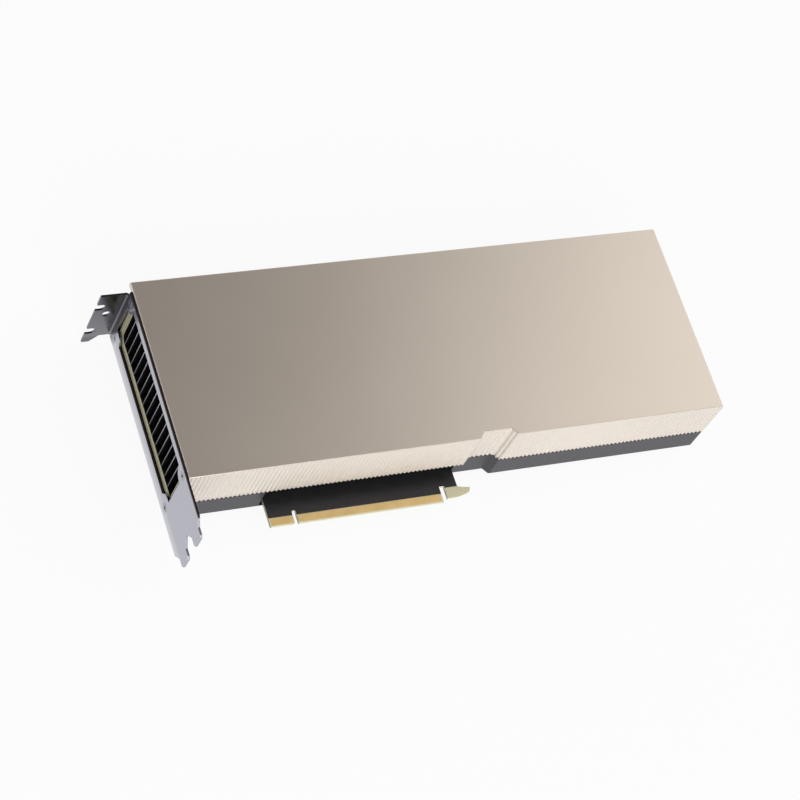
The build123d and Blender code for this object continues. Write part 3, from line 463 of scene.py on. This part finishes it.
# Bright nickel on pressed steel and brass: a cool grey with crystals 0.3 mm across in its gloss.
pressed_edge = 0.0001
bright, tree = new_finish("bright_nickel_plate")
at = add_node(tree, "ShaderNodeTexCoord")
crystals = add_node(tree, "ShaderNodeTexVoronoi", {"Scale": 1 / 0.0003}, {"Vector": at.outputs["Object"]})
tone = add_node(tree, "ShaderNodeMix", {6: linear("#9B9BA6"), 7: linear("#A6A6B0")},
                {0: crystals.outputs["Distance"]}, data_type="RGBA")
round_edge = add_node(tree, "ShaderNodeBevel", {"Radius": pressed_edge}, samples=4)
relief = add_node(tree, "ShaderNodeBump", {"Distance": 0.000001},
                  {"Height": crystals.outputs["Distance"], "Normal": round_edge.outputs[0]})
gloss = add_node(tree, "ShaderNodeMapRange", {"To Min": 0.28, "To Max": 0.36},
                 {"Value": crystals.outputs["Distance"]})
skin = add_node(tree, "ShaderNodeBsdfPrincipled", {"Metallic": 1.0}, {
    "Base Color": tone.outputs[2], "Roughness": gloss.outputs[0], "Normal": relief.outputs[0]})
add_node(tree, "ShaderNodeOutputMaterial", links={"Surface": skin.outputs[0]})
dress(bright, "stiffener_ring", "board_screws", "heatsink_screws", "board_standoffs")


# Power connector
# A glass-filled nylon housing with eight cells, moulded, at the board's intake end. Its edges
# are rounded by 0.2 mm, as the mould leaves them.

# Glass-filled nylon: black with a faint sheen, where the fibres swirl in patches 0.5 mm across.
mould_radius = 0.0002
nylon, tree = new_finish("black_glass_filled_nylon")
at = add_node(tree, "ShaderNodeTexCoord")
swirl = add_node(tree, "ShaderNodeTexNoise", {"Scale": 1 / 0.0005, "Detail": 3.0, "Distortion": 1.0},
                 {"Vector": at.outputs["Object"]})
tone = add_node(tree, "ShaderNodeMix", {6: linear("#161618"), 7: linear("#202022")},
                {0: swirl.outputs["Fac"]}, data_type="RGBA")
round_edge = add_node(tree, "ShaderNodeBevel", {"Radius": mould_radius}, samples=4)
relief = add_node(tree, "ShaderNodeBump", {"Distance": 0.000006},
                  {"Height": swirl.outputs["Fac"], "Normal": round_edge.outputs[0]})
gloss = add_node(tree, "ShaderNodeMapRange", {"To Min": 0.35, "To Max": 0.45},
                 {"Value": swirl.outputs["Fac"]})
skin = add_node(tree, "ShaderNodeBsdfPrincipled", {"IOR": 1.53}, {
    "Base Color": tone.outputs[2], "Roughness": gloss.outputs[0], "Normal": relief.outputs[0]})
add_node(tree, "ShaderNodeOutputMaterial", links={"Surface": skin.outputs[0]})
dress(nylon, "power_connector_housing")
round_edges(merged_copy("power_connector_housing"), mould_radius, "power_connector_housing")


# Heat sink
# A machined plate with a wall on each side, and thin sheets brazed upright on it, black
# anodised as one. The ends were milled afterwards and show bare metal.

# Anodised plate: a dull black with fine cutter marks 0.4 mm apart, and slightly yellowed bare
# alloy where the ends were milled.
plate_low, plate_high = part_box("heatsink_base")
milled_depth = 0.00003
anodised_plate, tree = new_finish("black_anodised_plate_with_milled_ends")
at = add_node(tree, "ShaderNodeTexCoord")
place = add_node(tree, "ShaderNodeSeparateXYZ", links={0: at.outputs["Object"]})
front = add_node(tree, "ShaderNodeMath", {1: plate_low.x + milled_depth}, {0: place.outputs["X"]},
                 operation="LESS_THAN")
rear = add_node(tree, "ShaderNodeMath", {1: plate_high.x - milled_depth}, {0: place.outputs["X"]},
                operation="GREATER_THAN")
milled = add_node(tree, "ShaderNodeMath", links={0: front.outputs[0], 1: rear.outputs[0]},
                  operation="MAXIMUM")
cutter = add_node(tree, "ShaderNodeTexNoise", {"Scale": 1 / 0.0004, "Detail": 2.0},
                  {"Vector": at.outputs["Object"]})
bare_tone = add_node(tree, "ShaderNodeMix", {6: linear("#B9B493"), 7: linear("#CBC6A8")},
                     {0: cutter.outputs["Fac"]}, data_type="RGBA")
dark_tone = add_node(tree, "ShaderNodeMix", {6: linear("#121214"), 7: linear("#1A1A1D")},
                     {0: cutter.outputs["Fac"]}, data_type="RGBA")
tone = add_node(tree, "ShaderNodeMix", links={
    0: milled.outputs[0], 6: dark_tone.outputs[2], 7: bare_tone.outputs[2]}, data_type="RGBA")
relief = add_node(tree, "ShaderNodeBump", {"Distance": 0.000005}, {"Height": cutter.outputs["Fac"]})
gloss = add_node(tree, "ShaderNodeMapRange", {"To Min": 0.45, "To Max": 0.55},
                 {"Value": cutter.outputs["Fac"]})
skin = add_node(tree, "ShaderNodeBsdfPrincipled", {"Metallic": 0.35}, {
    "Base Color": tone.outputs[2], "Roughness": gloss.outputs[0], "Normal": relief.outputs[0]})
add_node(tree, "ShaderNodeOutputMaterial", links={"Surface": skin.outputs[0]})
dress(anodised_plate, "heatsink_base")

# Anodised fin sheet: black with stains 1.5 mm across. Its cut edges are bare metal, and painted
# shade darkens them from the fins' tops down into the channels.
fin_low, fin_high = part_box("heatsink_fins")
fin_sheet, tree = new_finish("black_anodised_fin_sheet_bare_edges_painted_shade")
at = add_node(tree, "ShaderNodeTexCoord")
place = add_node(tree, "ShaderNodeSeparateXYZ", links={0: at.outputs["Object"]})
front = add_node(tree, "ShaderNodeMath", {1: fin_low.x + milled_depth}, {0: place.outputs["X"]},
                 operation="LESS_THAN")
rear = add_node(tree, "ShaderNodeMath", {1: fin_high.x - milled_depth}, {0: place.outputs["X"]},
                operation="GREATER_THAN")
sheared = add_node(tree, "ShaderNodeMath", links={0: front.outputs[0], 1: rear.outputs[0]},
                   operation="MAXIMUM")
# Painted shade: the bare edges darken from the fins' tops down towards the plate.
depth = add_node(tree, "ShaderNodeMapRange", {"From Min": fin_low.z, "From Max": fin_high.z},
                 {"Value": place.outputs["Z"]})
edge_tone = add_node(tree, "ShaderNodeMix", {6: linear("#3A393C"), 7: linear("#C4C2C8")},
                     {0: depth.outputs[0]}, data_type="RGBA")
stain = add_node(tree, "ShaderNodeTexNoise", {"Scale": 1 / 0.0015, "Detail": 2.0},
                 {"Vector": at.outputs["Object"]})
dark_tone = add_node(tree, "ShaderNodeMix", {6: linear("#0F0F11"), 7: linear("#19191C")},
                     {0: stain.outputs["Fac"]}, data_type="RGBA")
tone = add_node(tree, "ShaderNodeMix", links={
    0: sheared.outputs[0], 6: dark_tone.outputs[2], 7: edge_tone.outputs[2]}, data_type="RGBA")
relief = add_node(tree, "ShaderNodeBump", {"Distance": 0.000005}, {"Height": stain.outputs["Fac"]})
gloss = add_node(tree, "ShaderNodeMapRange", {"To Min": 0.4, "To Max": 0.55},
                 {"Value": stain.outputs["Fac"]})
skin = add_node(tree, "ShaderNodeBsdfPrincipled", {"Metallic": 0.35}, {
    "Base Color": tone.outputs[2], "Roughness": gloss.outputs[0], "Normal": relief.outputs[0]})
add_node(tree, "ShaderNodeOutputMaterial", links={"Surface": skin.outputs[0]})
dress(fin_sheet, "heatsink_fins")

# Foam strips seal the gap between the heat sink and the shroud.
# Closed-cell foam: dull black, with cut cells 0.8 mm across that pit its faces.
foam, tree = new_finish("black_closed_cell_foam")
at = add_node(tree, "ShaderNodeTexCoord")
cells = add_node(tree, "ShaderNodeTexVoronoi", {"Scale": 1 / 0.0008}, {"Vector": at.outputs["Object"]})
tone = add_node(tree, "ShaderNodeMix", {6: linear("#1E1E20"), 7: linear("#343436")},
                {0: cells.outputs["Distance"]}, data_type="RGBA")
relief = add_node(tree, "ShaderNodeBump", {"Distance": 0.00015}, {"Height": cells.outputs["Distance"]})
gloss = add_node(tree, "ShaderNodeMapRange", {"To Min": 0.85, "To Max": 0.95},
                 {"Value": cells.outputs["Distance"]})
skin = add_node(tree, "ShaderNodeBsdfPrincipled", {"IOR": 1.5}, {
    "Base Color": tone.outputs[2], "Roughness": gloss.outputs[0], "Normal": relief.outputs[0]})
add_node(tree, "ShaderNodeOutputMaterial", links={"Surface": skin.outputs[0]})
dress(foam, "foam_seal_strips")


# Shroud
# A folded aluminium channel with V ribs cut along both long sides, bead-blasted and anodised
# in a pale champagne tone. The tray's screws hold it from below.

# Anodised aluminium, bead-blasted: a fine even grain of about 0.3 mm under a satin gloss,
# with slow changes of tone from the dye bath. The sharp edges are given a slightly paler tone.
# The ribbed walls are cut before the dye, and their rougher flanks scatter more of the light.
# Their paler colour is painted light on the flanks.
# The cutter leaves a fine groove along the middle of each flank, so that lines lie 1.05 mm apart,
# and tumbling rounds the ribs between them.
flank_pitch = 0.00105
rib_round = 0.0008
folded_edge = 0.0003
wall_tilt = 0.5
wall_roughness = 0.15
champagne, tree = new_finish("champagne_anodised_aluminium")
at = add_node(tree, "ShaderNodeTexCoord")
blast = add_node(tree, "ShaderNodeTexNoise", {"Scale": 1 / 0.0003, "Detail": 2.0},
                 {"Vector": at.outputs["Object"]})
bath = add_node(tree, "ShaderNodeTexNoise", {"Scale": 1 / 0.06, "Detail": 2.0},
                {"Vector": at.outputs["Object"]})
tone = add_node(tree, "ShaderNodeMix", {6: linear("#E0D3C4"), 7: linear("#E6DACB")},
                {0: bath.outputs["Fac"]}, data_type="RGBA")
round_edge = add_node(tree, "ShaderNodeBevel", {"Radius": folded_edge}, samples=4)
flat = add_node(tree, "ShaderNodeNewGeometry")
turned = add_node(tree, "ShaderNodeVectorMath", links={
    0: round_edge.outputs[0], 1: flat.outputs["True Normal"]}, operation="DOT_PRODUCT")
# The sharp edges, where the rounded normal turns from the face, get a paler tone.
paler_edges = add_node(tree, "ShaderNodeMapRange", {"From Min": 0.99, "From Max": 0.85, "To Max": 0.5},
                  {"Value": turned.outputs["Value"]})
facing = add_node(tree, "ShaderNodeSeparateXYZ", links={0: flat.outputs["True Normal"]})
on_wall = add_node(tree, "ShaderNodeMath", {1: wall_tilt}, {0: facing.outputs["Z"]}, operation="LESS_THAN")
# Painted light: the walls get a paler colour than the top.
wall_painted_light_tone = add_node(tree, "ShaderNodeMix", {7: linear("#EDE4DA")},
                     {0: on_wall.outputs[0], 6: tone.outputs[2]}, data_type="RGBA")
paler_edge_tone = add_node(tree, "ShaderNodeMix", {7: linear("#ECE4D9")},
                     {0: paler_edges.outputs[0], 6: wall_painted_light_tone.outputs[2]}, data_type="RGBA")
metal_share = add_node(tree, "ShaderNodeMapRange", {"To Min": 1.0, "To Max": 0.4},
                       {"Value": on_wall.outputs[0]})
satin = add_node(tree, "ShaderNodeMapRange", {"To Min": 0.29, "To Max": 0.33},
                 {"Value": bath.outputs["Fac"]})
gloss = add_node(tree, "ShaderNodeMath", {1: wall_roughness},
                 {0: on_wall.outputs[0], 2: satin.outputs[0]}, operation="MULTIPLY_ADD")
across = add_node(tree, "ShaderNodeSeparateXYZ", links={0: at.outputs["Object"]})
cycle = add_node(tree, "ShaderNodeMath", {1: 2 * math.pi / flank_pitch}, {0: across.outputs["X"]},
                 operation="MULTIPLY")
groove = add_node(tree, "ShaderNodeMath", links={0: cycle.outputs[0]}, operation="SINE")
wall_groove = add_node(tree, "ShaderNodeMath", links={0: groove.outputs[0], 1: on_wall.outputs[0]},
                       operation="MULTIPLY")
round_rib = add_node(tree, "ShaderNodeBevel", {"Radius": rib_round}, samples=8)
rounded = add_node(tree, "ShaderNodeMix", links={
    0: on_wall.outputs[0], 4: round_edge.outputs[0], 5: round_rib.outputs[0]}, data_type="VECTOR")
grooved = add_node(tree, "ShaderNodeBump", {"Distance": 0.00004},
                   {"Height": wall_groove.outputs[0], "Normal": rounded.outputs[1]})
relief = add_node(tree, "ShaderNodeBump", {"Distance": 0.000003},
                  {"Height": blast.outputs["Fac"], "Normal": grooved.outputs[0]})
skin = add_node(tree, "ShaderNodeBsdfPrincipled", links={
    "Base Color": paler_edge_tone.outputs[2], "Metallic": metal_share.outputs[0],
    "Roughness": gloss.outputs[0], "Normal": relief.outputs[0]})
add_node(tree, "ShaderNodeOutputMaterial", links={"Surface": skin.outputs[0]})
dress(champagne, "top_shroud")


# Bracket
# One steel sheet, blanked and folded, with two tongues below and a flange above, satin nickel
# plated. Four flat-head screws hold it to the shroud and the tray.

# Nickel plate: rolling lines 0.2 mm apart along the bracket under a fairly clear mirror. Painted
# shade darkens it round the fold and up the flange, and a painted highlight brightens it at the
# edge beside the tray. Sheared edges facing the shroud are left dark, and a narrow band of the
# face below the top edge beside them is painted shade.
fold_shade_from_y = 0.1000
fold_shade_full_y = 0.1045
flange_shade_from_z = 0.0080
flange_shade_full_z = 0.0250
finger_top_z = 0.0
seam_shade_from_z = 0.0377
painted_highlight_from_z = 0.0060
tongue_top_y = -0.0070
turned_flat = 0.9
plated_edge = 0.0002
nickel, tree = new_finish("satin_nickel_plated_steel")
at = add_node(tree, "ShaderNodeTexCoord")
card = add_node(tree, "ShaderNodeVectorMath", {1: row_from_card}, {0: at.outputs["Object"]},
                operation="SUBTRACT")
place = add_node(tree, "ShaderNodeSeparateXYZ", links={0: card.outputs[0]})
along = add_node(tree, "ShaderNodeMapping", {"Scale": (1, 0.05, 1)}, {"Vector": at.outputs["Object"]})
rolled = add_node(tree, "ShaderNodeTexNoise", {"Scale": 1 / 0.0002, "Detail": 2.0},
                  {"Vector": along.outputs[0]})
tone = add_node(tree, "ShaderNodeMix", {6: linear("#A8A8B3"), 7: linear("#B3B3BC")},
                {0: rolled.outputs["Fac"]}, data_type="RGBA")
flat = add_node(tree, "ShaderNodeNewGeometry")
facing = add_node(tree, "ShaderNodeSeparateXYZ", links={0: flat.outputs["True Normal"]})
# Painted shade: darker near the fold, up the flange and on the finger below the fold.
shade_near_fold = add_node(tree, "ShaderNodeMapRange", {"From Min": fold_shade_from_y, "From Max": fold_shade_full_y},
                     {"Value": place.outputs["Y"]})
shade_up_flange = add_node(tree, "ShaderNodeMapRange", {
    "From Min": flange_shade_from_z, "From Max": flange_shade_full_z, "To Min": 0.88}, {"Value": place.outputs["Z"]})
painted_fold_shade = add_node(tree, "ShaderNodeMath", links={0: shade_near_fold.outputs[0], 1: shade_up_flange.outputs[0]},
                  operation="MULTIPLY")
low_end = add_node(tree, "ShaderNodeMath", {1: finger_top_z}, {0: place.outputs["Z"]},
                   operation="LESS_THAN")
on_finger = add_node(tree, "ShaderNodeMath", links={0: shade_near_fold.outputs[0], 1: low_end.outputs[0]},
                     operation="MULTIPLY")
painted_shade_mask = add_node(tree, "ShaderNodeMath", links={0: painted_fold_shade.outputs[0], 1: on_finger.outputs[0]},
                    operation="MAXIMUM")
# Painted highlight: paler towards the bracket's low edge beside the tray.
painted_edge_highlight = add_node(tree, "ShaderNodeMapRange", {"From Min": painted_highlight_from_z, "From Max": 0.0},
                      {"Value": place.outputs["Z"]})
painted_highlight_tone = add_node(tree, "ShaderNodeMix", {7: linear("#CDCDD3")},
                    {0: painted_edge_highlight.outputs[0], 6: tone.outputs[2]}, data_type="RGBA")
painted_shade_tone = add_node(tree, "ShaderNodeMix", {7: linear("#6A696E")},
                     {0: painted_shade_mask.outputs[0], 6: painted_highlight_tone.outputs[2]}, data_type="RGBA")
# Painted shade: a narrow band of the face below the top edge, beside the shroud.
painted_seam_shade = add_node(tree, "ShaderNodeMath", {1: seam_shade_from_z}, {0: place.outputs["Z"]},
                       operation="GREATER_THAN")
turned_up = add_node(tree, "ShaderNodeMath", {1: turned_flat}, {0: facing.outputs["Z"]},
                     operation="GREATER_THAN")
beside_shroud = add_node(tree, "ShaderNodeMath", {1: tongue_top_y}, {0: place.outputs["Y"]},
                         operation="GREATER_THAN")
cut_edge_and_seam_shade = add_node(tree, "ShaderNodeMath", links={0: painted_seam_shade.outputs[0], 1: turned_up.outputs[0]},
                    operation="MAXIMUM")
sheared = add_node(tree, "ShaderNodeMath", links={0: cut_edge_and_seam_shade.outputs[0], 1: beside_shroud.outputs[0]},
                   operation="MULTIPLY")
cut_edge_and_shade_tone = add_node(tree, "ShaderNodeMix", {7: linear("#4A4243")},
                    {0: sheared.outputs[0], 6: painted_shade_tone.outputs[2]}, data_type="RGBA")
round_edge = add_node(tree, "ShaderNodeBevel", {"Radius": plated_edge}, samples=4)
relief = add_node(tree, "ShaderNodeBump", {"Distance": 0.0000015},
                  {"Height": rolled.outputs["Fac"], "Normal": round_edge.outputs[0]})
gloss = add_node(tree, "ShaderNodeMapRange", {"To Min": 0.2, "To Max": 0.26},
                 {"Value": rolled.outputs["Fac"]})
skin = add_node(tree, "ShaderNodeBsdfPrincipled", {"Metallic": 1.0}, {
    "Base Color": cut_edge_and_shade_tone.outputs[2], "Roughness": gloss.outputs[0], "Normal": relief.outputs[0]})
add_node(tree, "ShaderNodeOutputMaterial", links={"Surface": skin.outputs[0]})
dress(nickel, "mounting_bracket")

# The finger at the flange's low end is cut with a slant, so its root is wider than its tip.
sheared_edge = 0.00015
finger_root = Vector((cad_low.x + 0.0034, 0, cad_low.z + 0.0047))
finger_slant = 0.0038
flange_from_y = cad_high.y - 0.005
bracket = merged_copy("mounting_bracket")
bpy.ops.object.mode_set(mode="EDIT")
pick(bracket, "verts", lambda vertex: vertex.co.y > flange_from_y and
     (vertex.co.xz - finger_root.xz).length < sheared_edge)
bpy.ops.transform.translate(value=(finger_slant, 0, 0))
bpy.ops.object.mode_set(mode="OBJECT")
round_edges(bracket, sheared_edge, "mounting_bracket")


# Screws
# Countersunk M2.5 steel screws with a six-lobed recess, cold-headed, each flush in its seat.
# Four hold the bracket, four the intake frame, and six go up through the tray into posts.
head_radius = 0.0021
head_height = 0.0009
neck_radius = 0.00145
shank_radius = 0.0012
rim_round = 0.00006
recess_radius = 0.0009
recess_depth = 0.0006
recess_floor = 0.85
lobes = 6
# The recess's mouth is drawn in between two lobes, within so many degrees, to shares of its radius.
waists = ((17, 0.9), (9, 0.84))
screw_sides = 48
end_facing = 0.9
smooth_under_degrees = 35
recess_turn_radians = 0.9
tray_near_middle_x = 0.04555
bracket_low, bracket_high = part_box("bracket_screws")
intake_low, intake_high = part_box("rear_frame_screws")
below_low, below_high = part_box("tray_screws")


def at_waist(vertex, reach):
    """Whether a vertex of the recess's mouth is within so many degrees of midway between two lobes."""
    if vertex.co.z > rim_round or vertex.co.xy.length > recess_radius + rim_round:
        return False
    turn = math.degrees(math.atan2(vertex.co.y, vertex.co.x)) % (360 / lobes)
    return abs(turn - 180 / lobes) < reach


def countersunk_screw(length):
    """A screw with its head's face at the origin, looking down, and its shank upright."""
    bpy.ops.object.select_all(action="DESELECT")
    bpy.ops.mesh.primitive_cone_add(vertices=screw_sides, radius1=head_radius, radius2=neck_radius,
                                    depth=head_height, location=(0, 0, head_height / 2))
    screw = bpy.context.object
    bpy.ops.object.transform_apply(location=True, rotation=True, scale=True)
    bpy.ops.object.mode_set(mode="EDIT")
    pick(screw, "faces", lambda face: face.normal.z > end_facing)
    bpy.ops.mesh.inset(thickness=neck_radius - shank_radius)
    bpy.ops.mesh.extrude_region_move(TRANSFORM_OT_translate={"value": (0, 0, length - head_height)})
    pick(screw, "faces", lambda face: face.normal.z < -end_facing)
    bpy.ops.mesh.inset(thickness=head_radius - recess_radius)
    for reach, share in waists:
        pick(screw, "verts", lambda vertex: at_waist(vertex, reach))
        bpy.ops.transform.resize(value=(share, share, 1), center_override=(0, 0, 0))
    pick(screw, "faces", lambda face: face.normal.z < -end_facing and len(face.verts) == screw_sides)
    bpy.ops.mesh.extrude_region_move(TRANSFORM_OT_translate={"value": (0, 0, recess_depth)})
    bpy.ops.transform.resize(value=(recess_floor, recess_floor, 1), center_override=(0, 0, recess_depth))
    pick(screw, "edges", lambda edge: all(
        v.co.z < rim_round and v.co.xy.length > head_radius - rim_round for v in edge.verts))
    bpy.ops.mesh.bevel(offset=rim_round, segments=2)
    bpy.ops.object.mode_set(mode="OBJECT")
    bpy.ops.object.shade_smooth_by_angle(angle=math.radians(smooth_under_degrees))
    return screw


def drive_in(node, screw, turn, places, finish):
    """Copies a screw to its places, turned about Y, each with its recess at a turn of its own."""
    screw.data.materials.append(finish)
    for count, place in enumerate(places):
        bpy.ops.object.select_all(action="DESELECT")
        screw.select_set(True)
        bpy.context.view_layer.objects.active = screw
        bpy.ops.object.duplicate()
        copy = bpy.context.object
        copy.name = f"{node}_{count + 1}"
        copy.matrix_world = (Matrix.Translation(place) @ Matrix.Rotation(turn, 4, "Y")
                             @ Matrix.Rotation(count * recess_turn_radians, 4, "Z"))
        bpy.ops.object.transform_apply(location=True, rotation=True, scale=True)
        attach(copy, "root")
        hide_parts(node)
    bpy.ops.object.select_all(action="DESELECT")
    screw.select_set(True)
    bpy.ops.object.delete()


# Black oxide on steel: blue-black with a dry sheen and stains 0.2 mm across from the bath.
oxide, tree = new_finish("black_oxide_on_steel")
at = add_node(tree, "ShaderNodeTexCoord")
stains = add_node(tree, "ShaderNodeTexNoise", {"Scale": 1 / 0.0002, "Detail": 3.0},
                  {"Vector": at.outputs["Object"]})
tone = add_node(tree, "ShaderNodeMix", {6: linear("#232329"), 7: linear("#313138")},
                {0: stains.outputs["Fac"]}, data_type="RGBA")
relief = add_node(tree, "ShaderNodeBump", {"Distance": 0.000002}, {"Height": stains.outputs["Fac"]})
gloss = add_node(tree, "ShaderNodeMapRange", {"To Min": 0.35, "To Max": 0.5},
                 {"Value": stains.outputs["Fac"]})
skin = add_node(tree, "ShaderNodeBsdfPrincipled", {"Metallic": 0.8}, {
    "Base Color": tone.outputs[2], "Roughness": gloss.outputs[0], "Normal": relief.outputs[0]})
add_node(tree, "ShaderNodeOutputMaterial", links={"Surface": skin.outputs[0]})

end_places = [(y, z) for y in (bracket_low.y + head_radius, bracket_high.y - head_radius)
              for z in (bracket_low.z + head_radius, bracket_high.z - head_radius)]
drive_in("bracket_screws", countersunk_screw(bracket_high.x - bracket_low.x), math.radians(90),
         [(bracket_low.x, y, z) for y, z in end_places], bright)
drive_in("rear_frame_screws", countersunk_screw(intake_high.x - intake_low.x), math.radians(-90),
         [(intake_high.x, y, z) for y, z in end_places], oxide)
tray_front_x = below_low.x + head_radius
tray_rear_x = below_high.x - head_radius
tray_places = [(x, below_low.y + head_radius, below_low.z)
               for x in (tray_front_x, tray_near_middle_x, tray_rear_x)]
tray_places += [(x, below_high.y - head_radius, below_low.z)
                for x in (tray_front_x, (tray_front_x + tray_rear_x) / 2, tray_rear_x)]
drive_in("tray_screws", countersunk_screw(below_high.z - below_low.z), 0.0, tray_places, oxide)
